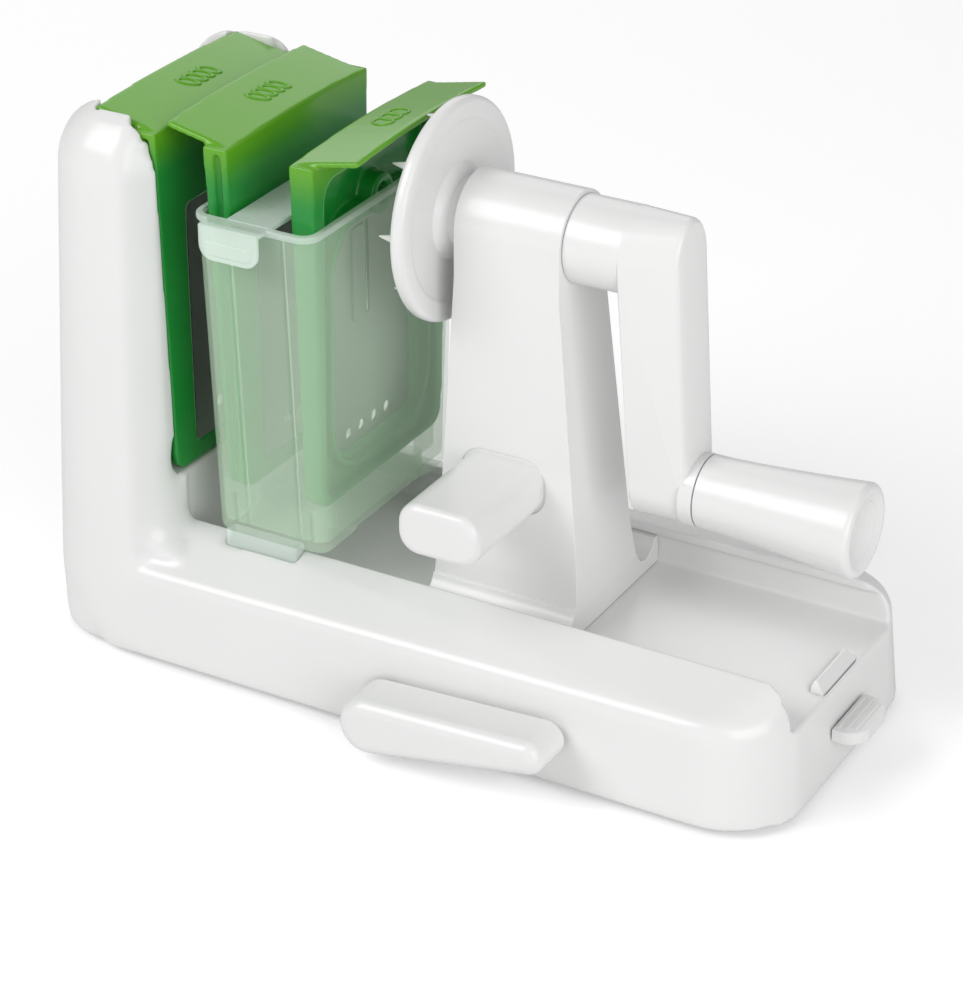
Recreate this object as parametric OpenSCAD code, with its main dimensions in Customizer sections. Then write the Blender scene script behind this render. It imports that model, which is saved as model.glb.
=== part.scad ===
// Crank spiralizer for vegetables: an L-shaped base with a tower that holds the cutting cassette,
// a carriage that slides along the base towards it, and a cranked spindle with a spiked food holder.
// A clear container stands over the rails and stores the two cassettes that are not in use.
// X runs along the base towards the crank, Y across it, and Z up from the table.

/* [Base] */
// Length of the base along X
base_l = 302; // [296:1:312]
// Width of the base at its lower edge
base_w = 132.6; // [130:0.2:136]
// Height of the base's lower edge above the table, which is the height of the rubber feet
foot_h = 2; // [1.5:0.1:3]
// Height of the rails' inner edge above the table
rail_h = 51; // [50.5:0.1:53]
// Height of the rails' outer shoulder above the table
shoulder_h = 43.5; // [41:0.5:46]
// Height of the channel's floor above the table
floor_h = 35; // [34.6:0.1:35.4]
// Thickness of the channel's floor
floor_t = 3; // [2.5:0.1:3.2]
// Clear width of the channel between the rails' lips
channel_w = 78; // [76:0.5:80]
// Depth of the undercut beneath each lip
undercut = 2.5; // [2:0.1:4]
// Thickness of the lips
lip_t = 4.4; // [3.5:0.1:5]
// Radius of the base's plan corners at the crank end
base_r = 28; // [22:1:34]
// Radius of the rounded heel below the tower
heel_r = 25; // [20:1:28]
// How far the end face leans in between its lower edge and the channel's floor
end_lean = 3.2; // [2:0.1:4]
// Wall thickness of the moulded shell
wall = 3; // [2.5:0.1:3.5]

/* [Tower] */
// Height of the tower's shoulders above the table
tower_h = 211; // [209:1:214]
// Depth of the tower along X at the channel
tower_d = 51.5; // [50.5:0.5:54]
// Width of the tower where its rounded shoulders begin
tower_w = 117.2; // [114:0.2:121]
// How far the tower's back leans in up to its shoulders
back_lean = 5.5; // [3:0.5:8]
// Radius of the rounded shoulders
shoulder_r = 25; // [22:0.5:27]
// Depth along X of the soft corner beside the cassette
front_r = 12; // [9:0.5:14]
// Radius of the hollow blend between the tower and the rails
root_r = 18; // [12:1:20]

/* [Cassettes] */
// Height of a cassette's lower edge above the table
cassette_z = 69.5; // [69:0.5:72]
// Height of a cassette's front edge above the table
cassette_top = 204.6; // [202:0.2:206]
// Width of a cassette's frame at its top
cassette_w = 93; // [91:0.5:93.6]
// Width of a cassette's frame at its lower edge
cassette_foot_w = 85; // [83:0.5:86]
// Thickness of a cassette's frame at its top
cassette_t = 9.8; // [9:0.1:10]
// Thickness of a cassette's frame at its lower edge
cassette_foot_t = 7.4; // [7:0.1:8]
// Radius of a cassette's lower corners
cassette_r = 7; // [4:0.5:10]
// Length of a cassette's cap along X
cap_l = 25.7; // [24:0.1:26]
// Width of a cassette's cap
cap_w = 88; // [84:0.5:89]
// Thickness of a cassette's cap
cap_t = 2.2; // [1.8:0.1:2.8]
// Rise of the cap from its front edge to its tip
cap_rise = 5.2; // [4:0.1:6]
// Crown of the cap across its width
cap_crown = 1.6; // [1:0.1:2]
// Width of the steel blade plate
plate_w = 58; // [52:0.5:62]
// Height of the steel blade plate's lower edge above the table
plate_z = 77; // [76:0.5:84]
// Height of the steel blade plate's upper edge above the table
plate_top = 171; // [169:0.5:171.5]
// Thickness of the steel blade plate
plate_t = 0.9; // [0.7:0.1:1.1]
// Distance between the teeth of the coarse comb
coarse_pitch = 6.5; // [5:0.1:8]
// Distance between the teeth of the fine comb
fine_pitch = 3.6; // [3:0.1:4.5]

/* [Storage container] */
// Distance between the fronts of the working cassette and the first stored one
stow_pitch = 29.5; // [29:0.1:30.5]
// Distance between the fronts of the two stored cassettes
stow_gap = 24.9; // [24:0.1:26]
// Height of the container's rim above the table
rim_h = 180; // [176:1:184]
// Height of the container's floor above the table
tub_z = 53; // [52.6:0.1:54]
// Width of the container's body at its rim
tub_w = 102.6; // [101:0.2:104]
// Width of the container's body at its floor
tub_foot_w = 90; // [89:0.2:91]
// Wall thickness of the container
tub_t = 1.4; // [1.2:0.1:1.6]
// Radius of the container's upright corners
tub_r = 6; // [5:0.5:7]
// Height of the container's feet
tub_foot_h = 11; // [9:0.5:12]

/* [Carriage] */
// Height of the spindle's axis above the table
spindle_h = 178; // [176:0.5:180]
// Length of the carriage's foot along X
foot_l = 58; // [56:0.5:60]
// Length of the bearing tube
tube_l = 41; // [39:0.5:42]
// Outer radius of the bearing tube
tube_r = 17; // [16.6:0.1:17.6]
// Radius of the bore for the bushes
bush_r = 11; // [10:0.1:12]
// Length of each bush
bush_l = 12; // [9:0.5:14]
// Width of the pillar across Y where it meets the foot
pillar_w = 46; // [42:0.5:48]
// Length of the push grip outside the pillar
push_l = 47; // [40:0.5:47.5]
// Width of the push grip along X
push_w = 32; // [30:0.5:34]
// Height of the push grip
push_t = 19.5; // [18:0.5:22]
// Height of the push grip's middle above the table
push_h = 88; // [84:0.5:92]

/* [Crank] */
// Radius of the steel spindle
shaft_r = 6; // [5:0.1:7]
// Distance between the spindle's axis and the crank grip's axis
crank_r = 84.3; // [82:0.1:86]
// Radius of the collar between the bearing tube and the crank arm
collar_r = 15.6; // [15:0.1:16]
// Length of the collar
collar_l = 20.5; // [19.5:0.1:22]
// Thickness of the crank arm along X
arm_t = 20.8; // [19:0.1:22]
// How far the crank arm leans outwards from the spindle to the grip
arm_lean = 5.6; // [3:0.1:7]
// Width of the crank arm's outer face
arm_face_w = 23.6; // [20:0.2:25]
// Radius of the crank arm's lower end
arm_end_r = 13; // [12.4:0.1:13.4]
// Length of the crank grip
grip_l = 59.5; // [56:0.5:62]
// Radius of the crank grip at the arm
grip_r = 13.3; // [12.6:0.1:14]
// Radius of the crank grip at its widest
grip_end_r = 17; // [15:0.1:17.5]
// Radius of the food holder's disc
holder_r = 40; // [36:0.5:40.5]
// Thickness of the food holder's disc
holder_t = 5.5; // [4.5:0.1:6]
// Length of the food holder's spikes
spike_l = 7.6; // [6:0.1:7.7]

/* [Suction foot] */
// Position of the suction lever's shaft, from the middle of the base
lever_x = 4; // [0:0.5:8]
// Height of the suction lever's shaft above the table
lever_h = 18.5; // [18.4:0.1:18.8]
// Radius of the suction lever's round end
lever_r = 10.7; // [10:0.1:11.5]
// Radius of the suction lever's tip
lever_tip_r = 6.7; // [6:0.1:7.5]
// Distance between the lever's shaft and the middle of its tip
lever_l = 63.5; // [56:0.5:66]
// Thickness of the suction lever
lever_t = 18.5; // [15:0.1:19]
// Radius of the suction pad
pad_r = 42; // [38:0.5:43]
// Lift of the suction pad over half a turn of the lever
pad_lift = 3; // [2.4:0.1:3]

/* [Stop latch] */
// Width of the catch across Y
catch_w = 28; // [24:0.5:30]
// Length of the catch along X
catch_l = 4.8; // [4:0.1:5]
// Height of the catch above the channel's floor
catch_h = 3.4; // [3:0.1:3.8]
// Width of the press tab outside the end face
tab_w = 27; // [24:0.5:30]
// How far the press tab stands out of the end face
tab_l = 11; // [9:0.1:12]

/* [Hidden] */

$fn = 64;
hull_fn = 32;
gap = 0.3;          // play between pieces that slide or lift
run = 0.05;         // play of a shaft in its bore
fit = 0.05;         // play of a screw or pin in the piece that it is driven into
cut = 1;            // overrun of every cut past the face it leaves through
skin = 0.5;         // thickness of the slices that a hull is stretched over

white = [0.93, 0.93, 0.92];
leaf = [0.37, 0.64, 0.14];
frost = [0.82, 0.92, 0.84, 0.5];
steel = [0.72, 0.73, 0.74];
rubber = [0.32, 0.33, 0.34];

// Places along X
left_x = -base_l / 2;
right_x = base_l / 2;
floor_end_x = right_x - end_lean;
tower_x = left_x + tower_d;
cassette_x1 = tower_x - gap;
cassette_x2 = cassette_x1 + stow_pitch;
cassette_x3 = cassette_x2 + stow_gap;

// Base: half widths and heights
half_w = base_w / 2;
rail_y = channel_w / 2;
slot_y = rail_y + undercut;
lip_z = rail_h - lip_t;
ceiling_z = floor_h - floor_t;
shoulder_edge_r = 6;
shoulder_y = side_y(shoulder_h);
rail_end_r = 12;
lead_in_l = 14;
heel_edge_x = 33;
heel_edge_r = 10;
root_slices = 4;
cap_ledge = 5;
passage_sill = 4;

// Bottom cover and its fixings
cover_t = 3;
cover_z = foot_h + cover_t;
inset = wall + gap;
well_r = pad_r + 2;
well_wall = 1.6;
well_d = 4.8;
well_z = foot_h + well_d;
boss_r = 4.5;
screw_r = 1.6;
screw_head_r = 3;
screw_head_t = 1.6;
screw_l = 14;
screw_x_shares = [-0.37, 0.17, 0.37];
screw_y_share = 0.36;
pad_foot_r = 8;
pad_foot_x_share = 0.27;
pad_foot_y_share = 0.33;
foot_bed = 1;

// Suction mechanism
pad_t = 2;
pad_boss_r = 7;
pad_boss_h = 1.6;
rod_r = 3;
rod_seat = 1;
lever_shaft_r = 3.5;
cam_throw = pad_lift / 2;
cam_rim = 1;
cam_r = lever_shaft_r + cam_throw + cam_rim;
cam_t = 7;
cam_play = 0.5;
yoke_wall = 1.5;
yoke_t = 5.4;
bracket_t = 5;
bracket_y = 8;
ring_t = 1.2;
ring_r = 6.4;
bearing_l = 12;
bearing_r = 8;
lever_gap = 1.2;
lever_edge_r = 4.5;
lever_seat = 11;
lever_drop = 3.2;
lever_tip_rise = 4.2;

// Stop latch
catch_inset = 1.5;
catch_bevel = 1.8;
latch_rise = 15;
latch_z = foot_h + latch_rise;
latch_t = 3;
latch_l = 22;
latch_w = 24;
latch_travel = catch_h + gap;
stem_w = 14;
tab_t = 4.6;
tab_corner_r = 8;
ridge_h = 0.5;
ridge_w = 1;
spring_r = 3.4;
wire_r = 0.5;
spring_turns = 5;
spring_sides = 6;
spring_rings_per_turn = 10;
cup_h = 3;
cup_wall = 1.2;
guide_t = 2;
guide_l = 8;
stop_l = 3;

// Cassette details
cap_tilt = atan(cap_rise / cap_l);
groove_w = 2.7;
groove_d = 2.2;
groove_front = 3;
plate_bed = plate_t + gap;
core_r = 4;
core_boss_r = 7.5;
slit_w = 5;
slit_l = 36;
slit_drop = 10;
blade_t = 0.7;
blade_out = 1;
flange_w = 7;
tooth_t = 0.6;
web_t = 2.4;
rim_t = 2.4;
rib_t = 1.8;

// Container details
tub_play = 1.2;
tub_back_play = 0.35;
tub_taper = 1;
rim_out = 0.9;
rim_edge = 2.4;
bridge_x0_gap = 1.7;
bridge_l = 17.8;
bridge_t = 1.6;
tunnel_w = 48;
tunnel_h = 3;
prop_t = 1.6;
prop_l = 16;
tab_out = 6;
tab_drop = 13;
tab_thick = 1.8;
lift_tab_l = 24;
lift_tab_x = 5;
tub_foot_l = 30;
tub_foot_t = 6;
tub_foot_set = 2;

// Carriage details
slider_y = slot_y - gap;
slider_z = floor_h + gap;
slider_top = lip_z - gap;
scoop_r = 7;
scoop_y_share = 0.75;
pillar_flare = 2.5;
flare_h = 16;
pillar_lean = 12;
pillar_back_lean = 4.6;
holder_reach = 12.3;
// the carriage rests where the spikes stand just clear of the last stored cassette's cap
spike_gap = 1.8;
holder_x = cassette_x3 + cap_l + spike_gap + spike_l;
tube_x = holder_x + holder_reach;
foot_x = tube_x + tube_l + pillar_lean;
foot_x0 = foot_x - foot_l;
neck_z = spindle_h - tube_r;
push_seat_d = 0.6;
push_seat_rim = 1;
push_corner_r = 8;
push_edge_r = 3;
push_spigot_r = 7;
push_spigot_l = 10;
push_x_share = 0.45;
push_screw_r = 2;
push_screw_head_r = 4;
push_screw_head_t = 2.4;

// Spindle and crank details
collar_x = tube_x + tube_l + gap;
arm_x = collar_x + collar_l;
holder_boss_r = 13;
holder_rim = 2.2;
holder_dish = 1.2;
spike_r = 2.2;
spike_ring_share = 0.82;
spike_inner_share = 0.45;
spike_count = 8;
spike_inner_count = 4;
seat_in_arm = 15;
arm_edge_r = 2.4;
arm_boss_l = 2.8;
arm_out_x = arm_x + arm_lean + arm_t;
arm_end_x = arm_out_x + arm_boss_l;
pin_r = 4;
pin_seat = 14;
pin_head_r = 6;
pin_head_t = 2;
grip_x = arm_end_x + gap;
grip_neck = 6;
grip_flare_power = 1.3;
grip_edge_r = 2.5;
grip_rim = 0.6;
dish_r = grip_end_r - grip_edge_r - grip_rim;
dish_d = 3;
cap_disc_r = 10.5;
cap_disc_t = 1.6;
grip_z = spindle_h - crank_r;

// Shoulder spheres of the tower
shoulder_z = tower_h - shoulder_r;
shoulder_cy = tower_w / 2 - shoulder_r;
back_cx = left_x + back_lean + shoulder_r;
front_cx = tower_x - front_r;

// Half width of the leaning outer wall at a height
function side_y(z) =
    half_w - (half_w - tower_w / 2) * (z - foot_h) / (tower_h - shoulder_r - foot_h);
// Half width of a cassette's frame, and of what holds it, at a height
function cassette_half(z) =
    (cassette_foot_w + (cassette_w - cassette_foot_w)
     * (z - cassette_z) / (cassette_top - cassette_z)) / 2;
// Thickness of a cassette's frame at a height
function cassette_depth(z) =
    cassette_foot_t + (cassette_t - cassette_foot_t)
    * (z - cassette_z) / (cassette_top - cassette_z);
// Points of an arc, from angle a to angle b
function arc(cx, cy, r, a, b, n = 8) =
    [for (i = [0:n]) [cx + r * cos(a + (b - a) * i / n), cy + r * sin(a + (b - a) * i / n)]];

// A cylinder that lies along X, from x0, with its axis at y and z
module rod_x(x0, l, r, y = 0, z = 0) {
    translate([x0, y, z]) rotate([0, 90, 0]) cylinder(h = l, r = r);
}

// A cylinder that lies along Y, from y0, with its axis at x and z
module rod_y(y0, l, r, x = 0, z = 0) {
    translate([x, y0 + l, z]) rotate([90, 0, 0]) cylinder(h = l, r = r);
}

// An upright box given by its limits
module block(x0, x1, y0, y1, z0, z1) {
    translate([x0, y0, z0]) cube([x1 - x0, y1 - y0, z1 - z0]);
}

// Draws a YZ outline and extrudes it along X from x0
module along_x(x0, l) {
    translate([x0, 0, 0]) rotate([90, 0, 90]) linear_extrude(height = l) children();
}

// Draws an XZ outline and extrudes it along Y from y0
module along_y(y0, l) {
    translate([0, y0 + l, 0]) rotate([90, 0, 0]) linear_extrude(height = l) children();
}

// Upright slab with round corners, for shells of the base
module round_slab(x0, x1, half_y, r, z, h) {
    for (x = [x0 + r, x1 - r], y = [-half_y + r, half_y - r])
        translate([x, y, z]) cylinder(h = h, r = r, $fn = hull_fn);
}

// Outer form of the tower: a leaning block with rounded shoulders and a rounded heel
module tower_body() {
    hull() {
        for (s = [-1, 1]) {
            translate([back_cx, s * shoulder_cy, shoulder_z])
                sphere(r = shoulder_r, $fn = hull_fn);
            translate([front_cx, s * shoulder_cy, shoulder_z])
                scale([front_r / shoulder_r, 1, 1]) sphere(r = shoulder_r, $fn = hull_fn);
            translate([left_x + heel_r, s * (side_y(foot_h + heel_r) - heel_r), foot_h + heel_r])
                sphere(r = heel_r, $fn = hull_fn);
            translate([left_x + heel_edge_x, s * (half_w - base_r), foot_h])
                scale([heel_edge_r / base_r, 1, 1])
                cylinder(h = skin, r = base_r, $fn = hull_fn);
            translate([front_cx, s * (half_w - shoulder_r), foot_h])
                scale([front_r / shoulder_r, 1, 1])
                cylinder(h = skin, r = shoulder_r, $fn = hull_fn);
        }
    }
}

// Outer form of the base: rails that slope outwards and a rounded, leaning end
module base_body() {
    hull() {
        for (s = [-1, 1]) {
            translate([right_x - base_r, s * (half_w - base_r), foot_h])
                cylinder(h = skin, r = base_r, $fn = hull_fn);
            translate([floor_end_x - base_r, s * (shoulder_y - base_r), 0])
                shoulder_disc();
        }
        block(front_cx, right_x - base_r, -half_w, half_w, foot_h, foot_h + skin);
        block(left_x + heel_r, left_x + 2 * heel_r, -shoulder_y, shoulder_y,
              shoulder_h - shoulder_edge_r - skin, shoulder_h - shoulder_edge_r);
        block(left_x + heel_r, left_x + 2 * heel_r, -rail_y, rail_y, rail_h - skin, rail_h);
        translate([floor_end_x - rail_end_r, rail_y, rail_h - rail_end_r])
            rotate([90, 0, 0])
            cylinder(h = channel_w, r = rail_end_r, $fn = hull_fn);
    }
}

// Round plan corner of the rails' shoulder, with its upper edge rounded
module shoulder_disc() {
    rotate_extrude($fn = hull_fn)
        polygon(concat(
            [[0, shoulder_h - 2 * shoulder_edge_r], [base_r, shoulder_h - 2 * shoulder_edge_r]],
            arc(base_r - shoulder_edge_r, shoulder_h - shoulder_edge_r, shoulder_edge_r, 0, 90, 5),
            [[0, shoulder_h]]));
}

// Hollow blend between the tower's front and the top of the rails, in slices along an arc
module root_blend() {
    for (i = [0:root_slices - 1])
        hull() {
            root_slice(90 * i / root_slices);
            root_slice(90 * (i + 1) / root_slices);
        }
}

// One slice of the blend: the tower's plan with its soft front corners, set forward
module root_slice(a) {
    z = shoulder_h + root_r * (1 - cos(a));
    x = tower_x - front_r + root_r * (1 - sin(a));
    half = side_y(z) - shoulder_edge_r * cos(a);
    block(front_cx - skin, x, -half, half, z - skin, z);
    for (s = [-1, 1])
        translate([x, s * (half - shoulder_r), z - skin])
            scale([front_r / shoulder_r, 1, 1])
            cylinder(h = skin, r = shoulder_r, $fn = hull_fn);
}

// The tower's opening: a pocket for the cassette, and the passage for the cut food behind it
module tower_opening() {
    pocket_x = cassette_x1 - cassette_t - gap;
    top_z = tower_h + cut;
    // the cassette's pocket, open to the front and upwards
    along_x(pocket_x, tower_x - pocket_x + cut)
        polygon([[-cassette_half(cassette_z) - gap, cassette_z - gap],
                 [cassette_half(cassette_z) + gap, cassette_z - gap],
                 [cassette_half(top_z) + gap, top_z], [-cassette_half(top_z) - gap, top_z]]);
    // the passage behind it, which leaves a ledge on both sides for the cap
    along_x(left_x - cut, pocket_x - left_x + 2 * cut)
        polygon([[-passage_y, passage_z], [passage_y, passage_z],
                 [passage_y, top_z], [-passage_y, top_z]]);
    // the bed of the cap
    cap_envelope(cap_w + 2 * gap);
}

passage_y = cap_w / 2 - cap_ledge;
passage_z = cassette_z + passage_sill;
core_y = cassette_foot_w / 2;

// Everything above the working cassette's cap, for seating the cap in the tower
module cap_envelope(w) {
    tip_x = cassette_x1 - cap_l - (cap_t + cap_crown) * sin(cap_tilt) - gap;
    bed_z = cassette_top - cap_crown - cap_t - 2 * gap;
    tip_z = bed_z + (cassette_x1 - tip_x) * tan(cap_tilt);
    along_y(-w / 2, w)
        polygon([[tip_x, tip_z], [cassette_x1, bed_z], [tower_x + cut, bed_z],
                 [tower_x + cut, tower_h + cut], [tip_x, tower_h + cut]]);
}

// The channel between the rails, undercut beneath both lips and open at the crank end
module channel_cut() {
    x0 = tower_x + gap;
    block(x0, right_x + cut, -rail_y, rail_y, floor_h, rail_h + root_r);
    block(x0, right_x + cut, -slot_y, slot_y, floor_h, lip_z);
    // the lips run out at the crank end, where the carriage is put in
    translate([right_x, 0, lip_z - cut])
        linear_extrude(height = lip_t + 2 * cut)
        polygon([[-lead_in_l, -rail_y], [-lead_in_l / 3, -slot_y], [cut, -slot_y],
                 [cut, slot_y], [-lead_in_l / 3, slot_y], [-lead_in_l, rail_y]]);
}

// Space inside the base for the suction mechanism and the latch
module base_cavity() {
    inner_x1 = floor_end_x - wall / 2 + catch_inset / 4;
    hull() {
        round_slab(left_x + heel_r + wall, right_x - wall, half_w - wall, base_r - wall,
                   foot_h - cut, cover_t + cut);
        round_slab(left_x + heel_r + wall, inner_x1, half_w - 2 * wall, base_r - wall,
                   ceiling_z - skin, skin);
    }
}

// Hollow inside the tower's foot, open towards the base's cavity
module tower_core() {
    block(left_x + 2 * wall, tower_x - wall, -core_y, core_y,
          ceiling_z - 2 * skin, cassette_z - gap - wall);
}

// Screw bosses that hang from the floor of the channel
module cover_bosses() {
    for (x = screw_x_shares, y = [-1, 1])
        translate([x * base_l, y * screw_y_share * base_w, cover_z + gap])
            cylinder(h = ceiling_z - cover_z, r = boss_r);
}

module screw_holes(r, z, h) {
    for (x = screw_x_shares, y = [-1, 1])
        translate([x * base_l, y * screw_y_share * base_w, z])
            cylinder(h = h, r = r);
}

// Opening of the housing for the catch and for the stem of the press tab
module latch_openings() {
    x1 = floor_end_x - catch_inset + gap;
    x0 = x1 - catch_l - 2 * gap;
    block(x0, x1, -catch_w / 2 - gap, catch_w / 2 + gap, ceiling_z - cut, floor_h + cut);
    block(x0, right_x + cut, -stem_w / 2 - gap, stem_w / 2 + gap,
          latch_z - latch_travel - gap, latch_z + latch_t + gap);
}

// Ribs that guide the latch on both sides, and the stop above its plate
module latch_guides() {
    x1 = floor_end_x - catch_inset;
    for (s = [-1, 1])
        translate([0, s * (catch_w + guide_t + 2 * gap) / 2, 0])
            block(x1 - guide_l, x1 + gap, -guide_t / 2, guide_t / 2,
                  latch_z - latch_travel, ceiling_z + skin);
    block(x1 - latch_l, x1 - latch_l + stop_l, -latch_w / 2, latch_w / 2,
          latch_z + latch_t + gap, ceiling_z + skin);
}

// Pockets in the rails' tops for the container's feet
module foot_pockets() {
    for (s = [-1, 1])
        translate([0, s * (tub_foot_y + tub_foot_t / 2), 0])
            block(tub_foot_x - gap, tub_foot_x + tub_foot_l + gap,
                  -tub_foot_t / 2 - gap, tub_foot_t / 2 + gap,
                  tub_z - tub_foot_h - gap, rail_h + cut);
}

tub_foot_x = cassette_x2 - cassette_t + tub_foot_set;
tub_foot_y = tub_foot_w / 2 - tub_foot_t;

// Bearings of the lever's shaft: a boss on the near wall and a bracket below the ceiling
module shaft_bearings() {
    rod_y(-half_w + wall, bearing_l, bearing_r, lever_x, lever_h);
    block(lever_x - bearing_r, lever_x + bearing_r, bracket_y, bracket_y + bracket_t,
          lever_h - bearing_r, ceiling_z + skin);
}

// Tongue on the near side of the tower that runs in the cassette's groove
module tower_tongue() {
    x1 = cassette_x1 - groove_front - gap;
    x0 = x1 - groove_w + 2 * gap;
    z1 = cassette_top - cap_t - cap_crown - 3 * gap;
    along_x(x0, x1 - x0)
        polygon([[-cassette_half(cassette_z + cassette_r) + groove_d - gap, cassette_z + cassette_r],
                 [-cassette_half(z1) + groove_d - gap, z1],
                 [-cassette_half(z1) - cut, z1],
                 [-cassette_half(cassette_z + cassette_r) - cut, cassette_z + cassette_r]]);
}

// The one-piece moulded base with its tower, rails and channel
module housing() {
    color(white)
    union() {
        difference() {
            union() {
                tower_body();
                base_body();
                root_blend();
            }
            tower_opening();
            channel_cut();
            base_cavity();
            tower_core();
            latch_openings();
            foot_pockets();
            rod_y(-half_w - cut, half_w, lever_shaft_r + run, lever_x, lever_h);
        }
        difference() {
            union() {
                cover_bosses();
                shaft_bearings();
                latch_guides();
            }
            screw_holes(screw_r + fit, cover_z, screw_l);
            rod_y(-half_w, base_w, lever_shaft_r + run, lever_x, lever_h);
        }
        tower_tongue();
    }
}

// Outline of the bottom cover, which closes the base from below
module cover_plate(h) {
    hull() round_slab(left_x + heel_r + wall + gap, right_x - wall - gap,
                      half_w - wall - gap, base_r - wall - gap, foot_h, h);
}

// Bottom cover with the well that the suction pad is drawn up into
module bottom_cover() {
    color(white)
    difference() {
        union() {
            cover_plate(cover_t);
            translate([lever_x, 0, foot_h])
                cylinder(h = well_d + well_wall, r = well_r + well_wall);
            translate([spring_x, 0, foot_h])
                cylinder(h = cover_t + cup_h, r = spring_r + wire_r + gap + cup_wall);
        }
        translate([lever_x, 0, foot_h - cut]) cylinder(h = well_d + cut, r = well_r);
        translate([lever_x, 0, well_z - cut]) cylinder(h = well_wall + 2 * cut, r = rod_r + run);
        translate([spring_x, 0, cover_z]) cylinder(h = cup_h + cut, r = spring_r + wire_r + gap);
        screw_holes(screw_r + fit, foot_h - cut, cover_t + 2 * cut);
        screw_holes(screw_head_r + fit, foot_h - cut, screw_head_t + cut);
        foot_places(pad_foot_r + fit, foot_h - cut, foot_bed + cut);
    }
}

spring_x = floor_end_x - catch_inset - latch_l / 2;

module foot_places(r, z, h) {
    for (x = [-1, 1], y = [-1, 1])
        translate([x * pad_foot_x_share * base_l, y * pad_foot_y_share * base_w, z])
            cylinder(h = h, r = r);
}

// Rubber feet, glued into shallow beds of the cover
module rubber_feet() {
    color(rubber) foot_places(pad_foot_r, 0, foot_h + foot_bed);
}

// Screws that hold the cover to the bosses of the housing
module cover_screws() {
    color(steel) {
        screw_holes(screw_head_r, foot_h, screw_head_t);
        screw_holes(screw_r, foot_h, screw_l - cover_t);
    }
}

// Soft suction pad: a thin disc with a thick rim and a moulded-in boss
module suction_pad() {
    color(rubber)
    translate([lever_x, 0, 0])
    difference() {
        union() {
            cylinder(h = pad_t, r = pad_r);
            cylinder(h = pad_t + pad_boss_h, r = pad_boss_r);
        }
        translate([0, 0, rod_seat]) cylinder(h = pad_t + pad_boss_h, r = rod_r);
    }
}

cam_z = lever_h - cam_throw;
yoke_z0 = cam_z - cam_r - cam_play - yoke_wall;
yoke_z1 = cam_z + cam_r + cam_play + yoke_wall;

// Pull rod with the yoke that the cam turns in
module pull_rod() {
    color(steel) {
        translate([lever_x, 0, rod_seat]) cylinder(h = yoke_z0 - rod_seat + skin, r = rod_r);
        difference() {
            block(lever_x - cam_r - cam_throw - cam_play - yoke_wall,
                  lever_x + cam_r + cam_throw + cam_play + yoke_wall,
                  -yoke_t / 2, yoke_t / 2, yoke_z0, yoke_z1);
            block(lever_x - cam_r - cam_throw - cam_play, lever_x + cam_r + cam_throw + cam_play,
                  -yoke_t / 2 - cut, yoke_t / 2 + cut, yoke_z0 + yoke_wall, yoke_z1 - yoke_wall);
        }
    }
}

lever_y = -half_w - lever_gap;

// Shaft of the suction lever, from the lever through both bearings
module lever_shaft() {
    color(steel)
    rod_y(lever_y - lever_seat, -lever_y + lever_seat + bracket_y + bracket_t + ring_t + gap,
          lever_shaft_r, lever_x, lever_h);
}

// Eccentric cam, pressed onto the shaft
module lever_cam() {
    color(white)
    difference() {
        rod_y(-cam_t / 2, cam_t, cam_r, lever_x, cam_z);
        rod_y(-cam_t / 2 - cut, cam_t + 2 * cut, lever_shaft_r, lever_x, lever_h);
    }
}

// Retaining ring behind the bracket
module shaft_ring() {
    color(steel)
    difference() {
        rod_y(bracket_y + bracket_t + gap, ring_t, ring_r, lever_x, lever_h);
        rod_y(bracket_y, bracket_t + 2 * ring_t, lever_shaft_r, lever_x, lever_h);
    }
}

// Disc that lies in the XZ plane and rises towards -Y, with its outer edge rounded
module round_disc(r, t, edge) {
    rotate([90, 0, 0])
        rotate_extrude($fn = hull_fn)
        polygon(concat([[0, 0], [r, 0]], arc(r - edge, t - edge, edge, 0, 90, 5), [[0, t]]));
}

// Suction lever: a chunky tapered bar with softly rounded edges
module suction_lever() {
    color(white)
    difference() {
        hull() {
            translate([lever_x, lever_y, lever_h - lever_drop])
                round_disc(lever_r, lever_t, lever_edge_r);
            translate([lever_x + lever_l, lever_y, lever_h + lever_tip_rise])
                round_disc(lever_tip_r, lever_t, lever_edge_r);
        }
        rod_y(lever_y - lever_seat, lever_seat + cut, lever_shaft_r, lever_x, lever_h);
    }
}

// Stop latch: the catch in the channel, the plate below the floor and the press tab
module stop_latch() {
    x1 = floor_end_x - catch_inset;
    x0 = x1 - catch_l;
    top = floor_h + catch_h;
    color(white) {
        // the catch: it stops the carriage and slopes on the side from which it is put in
        intersection() {
            along_y(-catch_w / 2, catch_w)
                polygon([[x0, latch_z], [x1, latch_z], [x1, floor_h], [x0 + catch_l / 3, top],
                         [x0 + catch_l / 6, top], [x0, floor_h + catch_h / 2]]);
            along_x(x0 - cut, catch_l + 2 * cut)
                polygon([[-catch_w / 2, latch_z], [catch_w / 2, latch_z], [catch_w / 2, floor_h],
                         [catch_w / 2 - catch_bevel, top], [catch_bevel - catch_w / 2, top],
                         [-catch_w / 2, floor_h]]);
        }
        difference() {
            block(x1 - latch_l, x1, -latch_w / 2, latch_w / 2, latch_z, latch_z + latch_t);
            translate([spring_x, 0, latch_z - cut])
                cylinder(h = cut + ridge_h, r = spring_r + wire_r + gap);
        }
        block(x1 - skin, tab_x + skin, -stem_w / 2, stem_w / 2, latch_z, latch_z + latch_t);
        press_tab();
    }
}

// The tab clears the leaning end face all the way down
tab_x = right_x + gap
    - end_lean * (latch_z - latch_travel - foot_h) / (floor_h - foot_h);

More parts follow.
